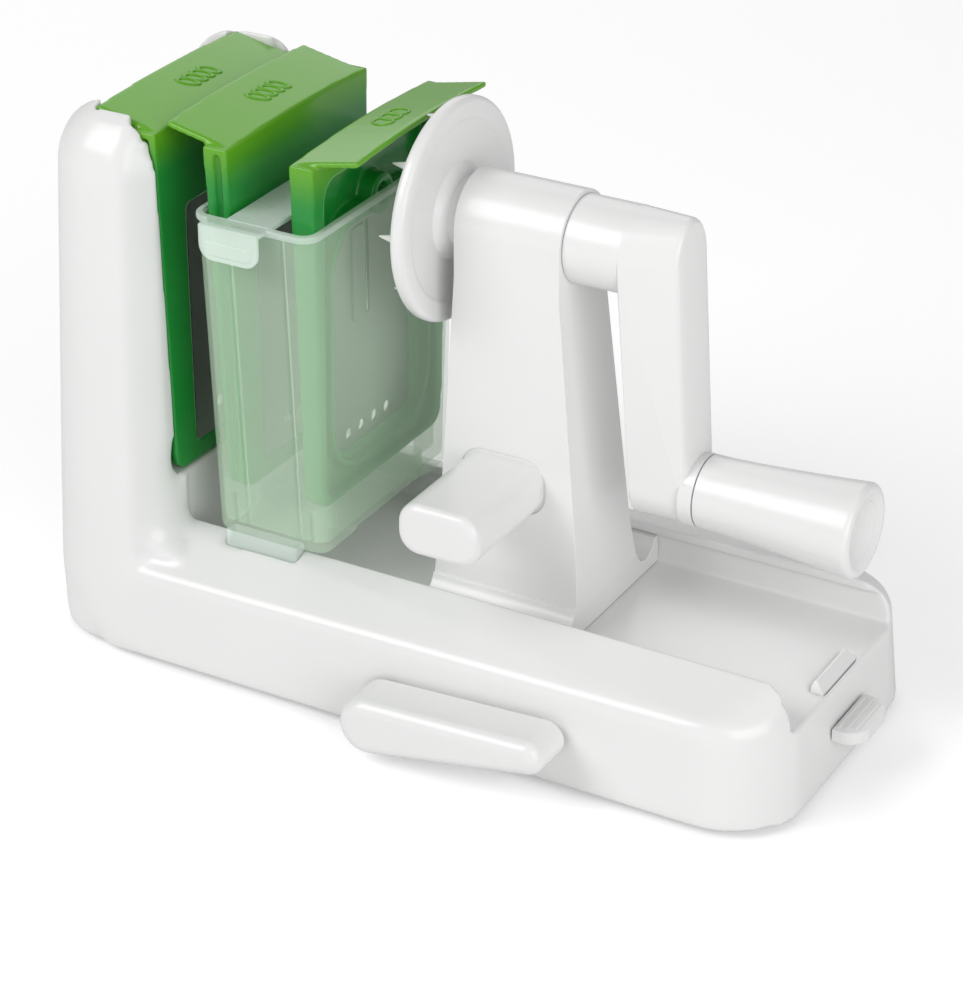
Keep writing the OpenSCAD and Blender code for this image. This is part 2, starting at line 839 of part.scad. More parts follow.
// Tab with round outer corners and ridges for the thumb
module press_tab() {
    translate([tab_x, 0, latch_z])
        linear_extrude(height = tab_t)
        intersection() {
            translate([0, -tab_w / 2]) square([tab_l, tab_w]);
            union() {
                for (s = [-1, 1])
                    translate([tab_l - tab_corner_r, s * (tab_w / 2 - tab_corner_r)])
                        circle(r = tab_corner_r);
                translate([0, -tab_w / 2]) square([tab_l - tab_corner_r, tab_w]);
                translate([0, tab_corner_r - tab_w / 2]) square([tab_l, tab_w - 2 * tab_corner_r]);
            }
        }
    for (i = [0:2])
        block(tab_x + ridge_w * (1 + 3 * i), tab_x + ridge_w * (2 + 3 * i),
              -tab_w / 2 + ridge_w * (2 + i), tab_w / 2 - ridge_w * (2 + i),
              latch_z + tab_t - skin, latch_z + tab_t + ridge_h);
}

// Compression spring below the latch: one unbroken helical tube
module latch_spring() {
    z0 = cover_z + wire_r + run;
    z1 = latch_z + ridge_h - wire_r - run;
    n = spring_turns * spring_rings_per_turn;
    points = [for (i = [0:n], k = [0:spring_sides - 1])
        let (a = 360 * i / spring_rings_per_turn, b = 360 * k / spring_sides,
             rr = spring_r + wire_r * cos(b))
        [rr * cos(a), rr * sin(a), z0 + (z1 - z0) * i / n + wire_r * sin(b)]];
    sides = [for (i = [0:n - 1], k = [0:spring_sides - 1])
        let (a = i * spring_sides + k, b = i * spring_sides + (k + 1) % spring_sides)
        [a, a + spring_sides, b + spring_sides, b]];
    first = [for (k = [0:spring_sides - 1]) k];
    last = [for (k = [spring_sides - 1:-1:0]) n * spring_sides + k];
    color(steel)
    translate([spring_x, 0, 0])
        polyhedron(points = points, faces = concat(sides, [first, last]));
}

// Cross-section of the carriage's foot: two runners with a scoop beside the pillar
module foot_outline() {
    scoop_y = slider_y * scoop_y_share;
    difference() {
        translate([-slider_y, slider_z]) square([2 * slider_y, slider_top - slider_z]);
        for (s = [-1, 1])
            translate([s * scoop_y, slider_top + scoop_r / 5]) circle(r = scoop_r);
    }
}

// Carriage: the foot in the channel, the pillar and the bearing tube, moulded in one
module carriage() {
    tube_x1 = tube_x + tube_l;
    color(white)
    difference() {
        union() {
            along_x(foot_x0, foot_l) foot_outline();
            hull() {
                block(foot_x0, foot_x, -pillar_w / 2, pillar_w / 2, slider_top - skin, slider_top);
                block(foot_x0 + skin, foot_x - skin - pillar_flare / 2,
                      -pillar_w / 2 + pillar_flare, pillar_w / 2 - pillar_flare,
                      slider_top + flare_h, slider_top + flare_h + skin);
            }
            hull() {
                block(foot_x0 + skin, foot_x - skin - pillar_flare / 2,
                      -pillar_w / 2 + pillar_flare, pillar_w / 2 - pillar_flare,
                      slider_top + flare_h, slider_top + flare_h + skin);
                block(tube_x, tube_x1, -tube_r, tube_r, neck_z - skin, neck_z);
            }
            block(tube_x, tube_x1, -tube_r, tube_r, neck_z - skin, spindle_h);
            rod_x(tube_x, tube_l, tube_r, 0, spindle_h);
        }
        rod_x(tube_x - cut, tube_l + 2 * cut, bush_r, 0, spindle_h);
        push_seat();
    }
}

push_x = foot_x0 + foot_l * push_x_share;
// Half width of the pillar where the push grip stands
push_y = pillar_w / 2 - pillar_flare
    - (pillar_w / 2 - pillar_flare - tube_r) * (push_h - slider_top - flare_h)
    / (neck_z - slider_top - flare_h);

// The push grip's section, a rectangle with large round corners, drawn out towards -Y
module push_bar(y, l, grow, edge) {
    r = push_corner_r + grow;
    hull()
        for (sx = [-1, 1], sz = [-1, 1])
            translate([push_x + sx * (push_w / 2 - push_corner_r), y,
                       push_h + sz * (push_t / 2 - push_corner_r)])
                round_disc(r, l, edge);
}

// Rimmed seat of the push grip, the hole for its spigot and the hole for its screw
module push_seat() {
    push_bar(-push_y + push_seat_d, cut + push_seat_d, push_seat_rim, gap);
    rod_y(-push_y - cut, push_spigot_l + cut, push_spigot_r + fit, push_x, push_h);
    rod_y(-push_y, 2 * push_y + cut, push_screw_r + fit, push_x, push_h);
    rod_y(push_y - push_screw_head_t, push_screw_head_t + cut, push_screw_head_r + fit, push_x, push_h);
}

// Push grip: the fixed handle that the other hand holds while the crank turns
module push_grip() {
    color(white)
    difference() {
        union() {
            push_bar(-push_y + push_seat_d, push_l, 0, push_edge_r);
            rod_y(-push_y, push_spigot_l - fit, push_spigot_r, push_x, push_h);
        }
        rod_y(-push_y - push_l / 2, push_l, push_screw_r + fit, push_x, push_h);
    }
}

// Screw that draws the push grip into its seat, from the far side of the pillar
module push_grip_screw() {
    color(steel) {
        rod_y(push_y - push_screw_head_t, push_screw_head_t, push_screw_head_r, push_x, push_h);
        rod_y(-push_y - push_l / 3, 2 * push_y + push_l / 3 - skin, push_screw_r, push_x, push_h);
    }
}

// Bushes pressed into both ends of the bearing tube
module bush(x0) {
    color([0.85, 0.85, 0.83])
    difference() {
        rod_x(x0, bush_l, bush_r, 0, spindle_h);
        rod_x(x0 - cut, bush_l + 2 * cut, shaft_r + run, 0, spindle_h);
    }
}

module rear_bush() { bush(tube_x); }
module front_bush() { bush(tube_x + tube_l - bush_l); }

// Steel spindle, from the food holder through the bushes into the crank arm
module spindle_shaft() {
    x0 = holder_x + holder_t;
    color(steel)
    difference() {
        rod_x(x0, arm_x + seat_in_arm - x0, shaft_r, 0, spindle_h);
        rod_x(x0 - cut, holder_screw_l, screw_r + fit, 0, spindle_h);
    }
}

holder_screw_l = 14;

// Food holder: a dished disc with a boss behind it and rings of spikes in front
module food_holder() {
    x1 = holder_x + holder_t;
    color(white)
    difference() {
        union() {
            translate([holder_x, 0, spindle_h]) rotate([0, 90, 0])
                rotate_extrude()
                polygon(concat(
                    [[0, 0]],
                    arc(holder_r - holder_rim, holder_rim, holder_rim, 270, 360, 5),
                    arc(holder_r - holder_rim, holder_t - holder_rim, holder_rim, 0, 90, 5),
                    [[holder_r - 3 * holder_rim, holder_t],
                     [holder_r - 4 * holder_rim, holder_t - holder_dish],
                     [holder_boss_r + 2 * holder_rim, holder_t - holder_dish],
                     [holder_boss_r, holder_t + holder_rim],
                     [holder_boss_r, tube_x - gap - holder_x], [0, tube_x - gap - holder_x]]));
            for (i = [0:spike_count - 1])
                spike(holder_r * spike_ring_share, 360 * i / spike_count);
            for (i = [0:spike_inner_count - 1])
                spike(holder_r * spike_inner_share, 360 * i / spike_inner_count + 45);
        }
        rod_x(x1 - fit, tube_x - x1 + cut, shaft_r + fit, 0, spindle_h);
        rod_x(holder_x - cut, holder_t + 2 * cut, screw_r + fit, 0, spindle_h);
        rod_x(holder_x - cut, screw_head_t + cut, screw_head_r + fit, 0, spindle_h);
    }
}

// Sharp cone on the face of the food holder
module spike(r, a) {
    translate([holder_x + skin, r * cos(a), spindle_h + r * sin(a)])
        rotate([0, -90, 0])
        cylinder(h = spike_l + skin, r1 = spike_r, r2 = spike_r / 8, $fn = 16);
}

// Screw in the middle of the food holder
module holder_screw() {
    color(steel) {
        rod_x(holder_x, screw_head_t, screw_head_r, 0, spindle_h);
        rod_x(holder_x, holder_t + holder_screw_l - 2 * cut, screw_r, 0, spindle_h);
    }
}

// Collar between the bearing tube and the crank arm
module crank_collar() {
    color(white)
    difference() {
        rod_x(collar_x, collar_l, collar_r, 0, spindle_h);
        rod_x(collar_x - cut, collar_l + 2 * cut, shaft_r + fit, 0, spindle_h);
    }
}

// Oval end of the arm's outer face, with its edge rounded
module arm_face(x, z, r) {
    translate([x, 0, z])
        scale([1, arm_face_w / 2 / r, 1])
        rotate([0, 90, 0])
        rotate_extrude($fn = hull_fn)
        polygon(concat([[0, -2 * arm_edge_r], [r, -2 * arm_edge_r]],
                       arc(r - arm_edge_r, -arm_edge_r, arm_edge_r, 0, 90, 4), [[0, 0]]));
}

// Crank arm: a solid bar that leans outwards and narrows to its outer face
module crank_arm() {
    color(white)
    difference() {
        union() {
            hull() {
                rod_x(arm_x, skin, collar_r, 0, spindle_h, $fn = hull_fn);
                rod_x(arm_x + arm_lean, skin, arm_end_r, 0, grip_z, $fn = hull_fn);
                arm_face(arm_x + arm_t, spindle_h, collar_r);
                arm_face(arm_out_x, grip_z, arm_end_r);
            }
            // the boss that the grip turns against
            rod_x(arm_out_x - arm_edge_r, arm_edge_r + arm_boss_l, grip_r, 0, grip_z);
        }
        rod_x(arm_x - cut, seat_in_arm + cut, shaft_r + fit, 0, spindle_h);
        rod_x(arm_end_x - pin_seat, pin_seat + cut, pin_r + fit, 0, grip_z);
    }
}

// Steel pin of the crank grip, with its head in the grip's outer end
module grip_pin() {
    color(steel) {
        rod_x(arm_end_x - pin_seat, pin_seat + grip_l - dish_d - cap_disc_t - fit, pin_r,
              0, grip_z);
        rod_x(grip_x + grip_l - dish_d - cap_disc_t - pin_head_t - fit, pin_head_t, pin_head_r,
              0, grip_z);
    }
}

// Hollow of the grip's end, from the radius a to the radius b
function dish(a, b, n = 4) =
    [for (i = [0:n]) let (r = a + (b - a) * i / n) [r, grip_l - dish_d * (1 - r * r / dish_r / dish_r)]];

// Crank grip: a turned form that widens outwards and is dished at its end
module crank_grip() {
    seat_x = grip_l - dish_d - cap_disc_t;
    flare_l = grip_l - grip_edge_r - grip_neck;
    color(white)
    translate([grip_x, 0, grip_z]) rotate([0, 90, 0])
        rotate_extrude()
        polygon(concat(
            [[pin_r + run, 0], [grip_r - skin, 0], [grip_r, skin]],
            [for (i = [0:4]) [grip_r + (grip_end_r - grip_r) * pow(i / 5, grip_flare_power),
                              grip_neck + flare_l * i / 5]],
            arc(grip_end_r - grip_edge_r, grip_l - grip_edge_r, grip_edge_r, 0, 90, 6),
            dish(dish_r, cap_disc_r),
            [[cap_disc_r, seat_x], [pin_head_r + 2 * run, seat_x],
             [pin_head_r + 2 * run, seat_x - pin_head_t - 2 * run],
             [pin_r + run, seat_x - pin_head_t - 2 * run]]));
}

// Dished cap that closes the end of the grip over the pin's head
module grip_cap() {
    color(white)
    translate([grip_x, 0, grip_z]) rotate([0, 90, 0])
        rotate_extrude()
        polygon(concat([[0, grip_l - dish_d - cap_disc_t],
                        [cap_disc_r - run, grip_l - dish_d - cap_disc_t]],
                       dish(cap_disc_r - run, 0)));
}

// Upright shell of the container: round corners, tapered towards the floor
module tub_shell(grow, z0) {
    top_x0 = tub_x0 - grow;
    top_x1 = tub_x1 + grow;
    hull() {
        round_slab(top_x0, top_x1, tub_w / 2 + grow, tub_r + grow, rim_h - skin, skin);
        round_slab(top_x0, top_x1 - tub_taper, tub_foot_w / 2 + grow, tub_r + grow, z0, skin);
    }
}

tub_x0 = cassette_x2 - cassette_depth(rim_h) - tub_play - tub_t;
tub_x1 = cassette_x3 + cassette_depth(rim_h) + tub_back_play + tub_t;

// Storage container: the shell, its rim, the bridge between the stored cassettes, the lifting
// tab, the props that carry the cassettes and the feet that stand in the rails
module container() {
    color(frost)
    difference() {
        union() {
            tub_shell(0, tub_z);
            hull() round_slab(tub_x0 - rim_out, tub_x1 + rim_out, tub_w / 2 + rim_out,
                              tub_r + rim_out, rim_h - rim_edge, rim_edge);
            for (s = [-1, 1])
                translate([0, s * (tub_foot_y + tub_foot_t / 2), 0])
                    block(tub_foot_x, tub_foot_x + tub_foot_l, -tub_foot_t / 2, tub_foot_t / 2,
                          tub_z - tub_foot_h, tub_z + skin);
            lift_tab();
        }
        difference() {
            tub_inside();
            bridge();
            cassette_props();
        }
        block(tub_x0 - cut, tub_x1 + cut, -tunnel_w / 2, tunnel_w / 2, tub_z - cut, tub_z + tunnel_h);
    }
}

// Space inside the container
module tub_inside() {
    hull() {
        round_slab(tub_x0 + tub_t, tub_x1 - tub_t, tub_w / 2 - tub_t, tub_r - tub_t,
                   rim_h, cut);
        round_slab(tub_x0 + tub_t, tub_x1 - tub_t - tub_taper, tub_foot_w / 2 - tub_t,
                   tub_r - tub_t, tub_z + tub_t + tunnel_h, skin);
    }
}

// Flat bridge across the container, between the two stored cassettes
module bridge() {
    x0 = cassette_x2 + bridge_x0_gap;
    block(x0, x0 + bridge_l, -tub_w / 2, tub_w / 2, rim_h - bridge_t, rim_h);
}

// Pairs of ribs that stand on the floor below the ends of each stored cassette
module cassette_props() {
    for (c = [[cassette_x2, -1], [cassette_x3, 1]], s = [-1, 1])
        block(c[0] + c[1] * cassette_foot_t / 2 - prop_t / 2,
              c[0] + c[1] * cassette_foot_t / 2 + prop_t / 2,
              s * (tub_foot_w / 2 - prop_l / 2) - prop_l / 2,
              s * (tub_foot_w / 2 - prop_l / 2) + prop_l / 2,
              tub_z, cassette_z - gap);
}

// Lifting tab on the near short side, which droops from the rim
module lift_tab() {
    x0 = cassette_x2 - lift_tab_x;
    y0 = -tub_w / 2 - rim_out;
    along_x(x0, lift_tab_l)
        polygon([[y0 + tub_t, rim_h], [y0 - tab_out + tab_thick, rim_h],
                 [y0 - tab_out, rim_h - tab_thick], [y0 - tab_out - tab_thick / 2, rim_h - tab_drop],
                 [y0 - tab_out + tab_thick / 2, rim_h - tab_drop],
                 [y0 - tab_out + tab_thick, rim_h - tab_thick], [y0 + tub_t, rim_h - tab_thick]]);
}

// Outline of a cassette's frame in its own plane: it narrows downwards to round corners
module frame_outline() {
    z1 = cassette_top - cap_crown;
    h0 = cassette_half(cassette_z);
    polygon(concat(
        [[cassette_half(z1), z1]],
        arc(h0 - cassette_r, cassette_z + cassette_r, cassette_r, 0, -90, 6),
        arc(-h0 + cassette_r, cassette_z + cassette_r, cassette_r, -90, -180, 6),
        [[-cassette_half(z1), z1]]));
}

// Rounded window outline between two heights
module window_outline(half, z0, z1, r) {
    polygon(concat(arc(half - r, z0 + r, r, 0, -90, 5), arc(-half + r, z0 + r, r, -90, -180, 5),
                   arc(-half + r, z1 - r, r, 180, 90, 5), arc(half - r, z1 - r, r, 90, 0, 5)));
}

// Crowned cap that slopes down from its tip to the front of the frame
module cassette_cap() {
    crown_r = (cap_w * cap_w / 4 + cap_crown * cap_crown) / (2 * cap_crown);
    half_a = asin(cap_w / 2 / crown_r);
    translate([0, 0, cassette_top])
    rotate([0, cap_tilt, 0])
    along_x(-cap_l / cos(cap_tilt), cap_l / cos(cap_tilt))
        polygon(concat(
            arc(0, -crown_r, crown_r, 90 - half_a, 90 + half_a, 10),
            arc(0, -crown_r - cap_t, crown_r, 90 + half_a, 90 - half_a, 10)));
}

// Cassette frame in its own place: its front face lies at x = 0 and faces +X
module cassette_frame(grooved) {
    back = -cassette_t;
    z1 = cassette_top - cap_crown;
    slope = atan((cassette_t - cassette_foot_t) / (cassette_top - cassette_z));
    half_plate = plate_w / 2 + fit;
    difference() {
        union() {
            intersection() {
                along_x(back, cassette_t) frame_outline();
                // the back leans so that the frame is thinner at its foot
                along_y(-cassette_w, 2 * cassette_w)
                    polygon([[0, cassette_z - cut], [0, cassette_top],
                             [-cassette_t, cassette_top],
                             [-cassette_foot_t, cassette_z], [-cassette_foot_t, cassette_z - cut]]);
            }
            cassette_cap();
        }
        // pocket in the back that leaves a rim, a web and a band below the cap
        difference() {
            along_x(back - cut, cassette_foot_t - web_t + cassette_t - cassette_foot_t + cut)
                window_outline(cassette_foot_w / 2 - rim_t - groove_d, cassette_z + rim_t,
                               cassette_top - 4 * rim_t, cassette_r);
            along_x(back - cut, cassette_t + cut)
                difference() {
                    window_outline(window_half + rib_t, plate_z, plate_top + 4 * rib_t, 3 * cassette_r);
                    window_outline(window_half, plate_z + rib_t, plate_top + 3 * rib_t, 3 * cassette_r);
                }
            rod_x(back - cut, cassette_t + cut, core_boss_r, 0, spindle_h);
        }
        // bed of the blade plate, and the window behind it
        along_x(-plate_bed, plate_bed + cut)
            window_outline(half_plate, plate_z - fit, plate_top + fit, rim_t);
        along_x(back - cut, cassette_t + 2 * cut)
            window_outline(window_half - 2 * rib_t, plate_z + 3 * rib_t, plate_top - 2 * rib_t, cassette_r);
        // hole for the core of the food, on the spindle's axis
        rod_x(back - cut, cassette_t + 2 * cut, core_r, 0, spindle_h);
        if (grooved)
            along_x(-groove_front - groove_w, groove_w)
                polygon([[-cassette_half(cassette_z) + groove_d, cassette_z - cut],
                         [-cassette_half(z1) + groove_d, z1 - cap_t],
                         [-cassette_half(z1) - cut, z1 - cap_t],
                         [-cassette_half(cassette_z) - cut, cassette_z - cut]]);
    }
}

window_half = plate_w / 2 + 2 * rib_t;

// Steel plate with the slit for the blade and four rivet-like dimples' holes
module blade_plate(holes) {
    slit_z1 = plate_top - slit_drop / 2;
    difference() {
        along_x(-plate_bed, plate_t)
            window_outline(plate_w / 2, plate_z, plate_top, rim_t);
        block(-plate_bed - cut, cut, -slit_w / 2, slit_w / 2, slit_z1 - slit_l, slit_z1);
        for (i = [0:holes - 1])
            rod_x(-plate_bed - cut, plate_t + 2 * cut, drain_r,
                  (i - (holes - 1) / 2) * 4 * drain_r, plate_z + slit_drop);
    }
}

drain_r = 2.2;
slit_z = plate_top - slit_drop / 2 - slit_l / 2;

// Bent steel blade: a flange behind the plate and an edge that slants out through the slit,
// with a comb of upright teeth that splits the strip into strands
module blade(pitch) {
    l = slit_l - 2 * gap;
    edge_y = -slit_w / 2 + gap;
    bend_y = slit_w / 2 - gap;
    translate([0, 0, slit_z - l / 2])
        linear_extrude(height = l)
        polygon([[blade_out, edge_y], [-plate_bed, bend_y], [-plate_bed, bend_y + flange_w],
                 [-plate_bed - blade_t, bend_y + flange_w], [-plate_bed - blade_t, bend_y - blade_t / 2],
                 [blade_out - blade_t, edge_y]]);
    if (pitch > 0)
        for (z = [slit_z - l / 2 + pitch / 2 : pitch : slit_z + l / 2 - tooth_t])
            translate([0, 0, z])
                linear_extrude(height = tooth_t)
                polygon([[blade_out - blade_t / 2, edge_y + blade_t / 2], [blade_out + gap, 0],
                         [-blade_t / 2, bend_y - blade_t], [-blade_t, 0]]);
}

module at_cassette(i) {
    if (i == 3) translate([cassette_x3, 0, 0]) rotate([0, 0, 180]) children();
    else translate([i == 1 ? cassette_x1 : cassette_x2, 0, 0]) children();
}

module cassette_1_frame() { color(leaf) at_cassette(1) cassette_frame(true); }
module cassette_2_frame() { color(leaf) at_cassette(2) cassette_frame(true); }
module cassette_3_frame() { color(leaf) at_cassette(3) cassette_frame(true); }
module cassette_1_plate() { color(steel) at_cassette(1) blade_plate(4); }
module cassette_2_plate() { color(steel) at_cassette(2) blade_plate(4); }
module cassette_3_plate() { color(steel) at_cassette(3) blade_plate(4); }
module cassette_1_blade() { color(steel) at_cassette(1) blade(coarse_pitch); }
module cassette_2_blade() { color(steel) at_cassette(2) blade(fine_pitch); }
module cassette_3_blade() { color(steel) at_cassette(3) blade(0); }

housing();
bottom_cover();
cover_screws();
rubber_feet();
suction_pad();
pull_rod();
lever_shaft();
lever_cam();
shaft_ring();
suction_lever();
stop_latch();
latch_spring();
carriage();
rear_bush();
front_bush();
push_grip();
push_grip_screw();
spindle_shaft();
food_holder();
holder_screw();
crank_collar();
crank_arm();
grip_pin();
crank_grip();
grip_cap();
container();
cassette_1_frame();
cassette_1_plate();
cassette_1_blade();
cassette_2_frame();
cassette_2_plate();
cassette_2_blade();
cassette_3_frame();
cassette_3_plate();
cassette_3_blade();
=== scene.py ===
import math
import bpy
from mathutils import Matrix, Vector


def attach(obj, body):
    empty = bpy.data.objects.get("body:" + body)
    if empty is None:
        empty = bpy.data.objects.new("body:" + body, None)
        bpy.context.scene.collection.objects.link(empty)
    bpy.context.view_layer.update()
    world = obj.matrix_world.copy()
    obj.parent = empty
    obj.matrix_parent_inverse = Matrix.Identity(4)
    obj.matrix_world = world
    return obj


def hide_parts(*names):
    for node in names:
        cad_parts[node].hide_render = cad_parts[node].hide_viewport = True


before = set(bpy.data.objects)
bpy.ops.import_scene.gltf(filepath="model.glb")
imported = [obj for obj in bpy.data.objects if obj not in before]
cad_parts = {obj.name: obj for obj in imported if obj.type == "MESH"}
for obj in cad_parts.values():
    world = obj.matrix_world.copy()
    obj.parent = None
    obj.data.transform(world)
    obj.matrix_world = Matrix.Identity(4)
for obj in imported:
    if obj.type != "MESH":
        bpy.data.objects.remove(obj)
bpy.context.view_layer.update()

# The view
# The tool stands turned by some thirty degrees and is seen from above with a long lens.
# The place and the angle of the camera come from the edges of the base and the food holder.
camera_place = (0.4981, -0.8719, 0.6093)
camera_tilt = math.radians(61.55)
camera_turn = math.radians(29.57)
camera_lens = 113.4
film_width = 36.0
bpy.ops.object.select_all(action="DESELECT")
bpy.ops.object.camera_add(location=camera_place, rotation=(camera_tilt, 0.0, camera_turn))
camera = bpy.context.object
camera.data.lens = camera_lens
camera.data.sensor_width = film_width
bpy.context.scene.camera = camera
bpy.context.scene.view_settings.view_transform = "Standard"

# Housing
# The base with its rails and the tower is one hollow moulding of glossy white ABS.
# The mould leaves soft edges and big smooth corners. The solid's front bulges past its plane
# and closes the first cassette's pocket, so here both are cut true, and the heel is filled out.
white_tone = (0.80, 0.80, 0.795)
white_rough = 0.24
weld = 1e-6
housing_cell = 0.0009
housing_triangles = 175000
front_x = -0.0995
pocket_floor_z = 0.0690
front_cut = ((front_x, -0.08, pocket_floor_z), (-0.05, 0.08, 0.25))
edge_passes = 8
shoulder_y = 0.049
shoulder_fade = 0.004
shoulder_passes = 50
pocket_low = (-0.1030, -0.0428, 0.0692)
pocket_high = (-0.0900, 0.0428, 0.2120)
pocket_top_y = 0.0470
heel_x = -0.104
heel_z = 0.062
heel_fade = 0.012
heel_foot_z = 0.003
heel_foot_fade = 0.004
heel_passes = 150
heel_block = ((-0.1500, -0.0640, 0.0022), (-0.1050, 0.0640, 0.0340))
heel_corner = 0.024
heel_edge = 0.013
root_x = (-0.106, -0.070)
root_z = (0.047, 0.086)
root_y = 0.040
root_fade = 0.004
root_top_fade = 0.008
root_side_fade = 0.003
root_passes = 260
housing_crisp = 60
corner_steps = 8
edge_steps = 3
edge_from = 40


def copy_of_solid(node, name):
    """The mesh of a CAD solid as a piece of its own, with its doubled points merged."""
    bpy.ops.object.select_all(action="DESELECT")
    piece = bpy.data.objects.new(name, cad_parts[node].data.copy())
    piece.data.name = name
    bpy.context.scene.collection.objects.link(piece)
    piece.select_set(True)
    bpy.context.view_layer.objects.active = piece
    bpy.ops.mesh.customdata_custom_splitnormals_clear()
    bpy.ops.object.mode_set(mode="EDIT")
    bpy.ops.mesh.select_all(action="SELECT")
    bpy.ops.mesh.remove_doubles(threshold=weld)
    bpy.ops.object.mode_set(mode="OBJECT")
    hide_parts(node)
    return piece


def finish_with(piece, kind, **settings):
    """Adds a modifier to the piece and applies it."""
    bpy.ops.object.select_all(action="DESELECT")
    piece.select_set(True)
    bpy.context.view_layer.objects.active = piece
    step = piece.modifiers.new(kind.lower(), kind)
    for key, value in settings.items():
        setattr(step, key, value)
    bpy.ops.object.modifier_apply(modifier=step.name)


def cast_as_one(piece, cell):
    """Casts the piece again as one even skin, fine enough to keep its ribs."""
    finish_with(piece, "REMESH", mode="VOXEL", voxel_size=cell)


def ease(piece, passes, share=None):
    """Rounds edges as the mould leaves them, everywhere or by the share given at each point."""
    spot = piece.vertex_groups.new(name="eased")
    levels = {}
    for point in piece.data.vertices:
        amount = 1.0 if share is None else round(min(max(share(point.co), 0.0), 1.0), 1)
        levels.setdefault(amount, []).append(point.index)
    for amount, points in levels.items():
        if amount > 0:
            spot.add(points, amount, "REPLACE")
    finish_with(piece, "SMOOTH", factor=0.5, iterations=passes, vertex_group=spot.name)
    piece.vertex_groups.clear()


def thin_out(piece, triangles):
    """Takes points out where the skin needs them least."""
    present = sum(len(face.vertices) - 2 for face in piece.data.polygons)
    if present > triangles:
        finish_with(piece, "DECIMATE", ratio=triangles / present)


def smooth_shade(piece, limit=180):
    """Shades the piece smoothly, with edges sharper than the limit left crisp."""
    bpy.ops.object.select_all(action="DESELECT")
    piece.select_set(True)
    bpy.context.view_layer.objects.active = piece
    bpy.ops.object.shade_smooth_by_angle(angle=math.radians(limit))
    finish_with(piece, "WEIGHTED_NORMAL", keep_sharp=True)


def slide_points(piece, chosen, step):
    """Moves the points that the test picks."""
    bpy.ops.object.mode_set(mode="EDIT")
    bpy.ops.mesh.select_all(action="DESELECT")
    bpy.ops.object.mode_set(mode="OBJECT")
    for point in piece.data.vertices:
        point.select = chosen(point.co)
    bpy.ops.object.mode_set(mode="EDIT")
    bpy.ops.transform.translate(value=step)
    bpy.ops.object.mode_set(mode="OBJECT")


def soft_block(name, low, high, corner=0.0, edge=0.0, axis=2, wide_top=None, lower_only=False):
    """A block with round corners about one axis and soft rims, wider at its top if told."""
    bpy.ops.object.select_all(action="DESELECT")
    middle = [(a + b) / 2 for a, b in zip(low, high)]
    bpy.ops.mesh.primitive_cube_add(size=1.0, location=middle)
    piece = bpy.context.object
    piece.name = name
    piece.scale = [b - a for a, b in zip(low, high)]
    bpy.ops.object.transform_apply(location=True, rotation=True, scale=True)
    if wide_top:
        half_y, lean_x = wide_top
        slide_points(piece, lambda p: p.z > middle[2] and p.y < middle[1], (0, -half_y - low[1], 0))
        slide_points(piece, lambda p: p.z > middle[2] and p.y > middle[1], (0, half_y - high[1], 0))
        slide_points(piece, lambda p: p.z > middle[2] and p.x > middle[0], (lean_x, 0, 0))
    if corner:
        turn = piece.data.attributes.new("bevel_weight_edge", "FLOAT", "EDGE")
        for seam in piece.data.edges:
            a, b = [piece.data.vertices[i].co for i in seam.vertices]
            along = [abs(u - v) for u, v in zip(a, b)]
            low_enough = not lower_only or (a.z < middle[2] and b.z < middle[2])
            turns_here = along.index(max(along)) == axis and low_enough
            turn.data[seam.index].value = 1.0 if turns_here else 0.0
        finish_with(piece, "BEVEL", width=corner, segments=corner_steps,
                    limit_method="WEIGHT")
    if edge:
        finish_with(piece, "BEVEL", width=edge, segments=edge_steps,
                    limit_method="ANGLE", angle_limit=math.radians(edge_from))
    return piece


def join_in(piece, other, operation="UNION"):
    """Joins the other block to the piece, or cuts it away, and clears it off the bench."""
    finish_with(piece, "BOOLEAN", operation=operation, solver="EXACT", object=other)
    bpy.data.objects.remove(other)


def moulded_plastic(name, tone, rough, drift=0.02, grain=0.05):
    """Injection-moulded plastic: a faint drift of tone and gloss over the piece."""
    paint = bpy.data.materials.new(name)
    paint.use_nodes = True
    tree = paint.node_tree
    shader = tree.nodes["Principled BSDF"]
    place = tree.nodes.new("ShaderNodeTexCoord")
    cloud = tree.nodes.new("ShaderNodeTexNoise")
    cloud.inputs["Scale"].default_value = 14.0
    cloud.inputs["Detail"].default_value = 2.0
    tree.links.new(place.outputs["Object"], cloud.inputs["Vector"])
    hue = tree.nodes.new("ShaderNodeMix")
    hue.data_type = "RGBA"
    hue.inputs["A"].default_value = (*[c * (1 - drift) for c in tone], 1)
    hue.inputs["B"].default_value = (*[min(c * (1 + drift), 1) for c in tone], 1)
    tree.links.new(cloud.outputs["Fac"], hue.inputs["Factor"])
    tree.links.new(hue.outputs["Result"], shader.inputs["Base Color"])
    fine = tree.nodes.new("ShaderNodeTexNoise")
    fine.inputs["Scale"].default_value = 420.0
    fine.inputs["Detail"].default_value = 3.0
    tree.links.new(place.outputs["Object"], fine.inputs["Vector"])
    spread = tree.nodes.new("ShaderNodeMapRange")
    spread.inputs["To Min"].default_value = rough - grain
    spread.inputs["To Max"].default_value = rough + grain
    tree.links.new(fine.outputs["Fac"], spread.inputs["Value"])
    tree.links.new(spread.outputs["Result"], shader.inputs["Roughness"])
    shader.inputs["IOR"].default_value = 1.5
    return paint


def dress(piece, paint):
    """Gives the whole piece one finish."""
    piece.data.materials.clear()
    piece.data.materials.append(paint)
    for face in piece.data.polygons:
        face.material_index = 0


def belongs(piece, body):
    """The piece moves with the body."""
    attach(piece, body)


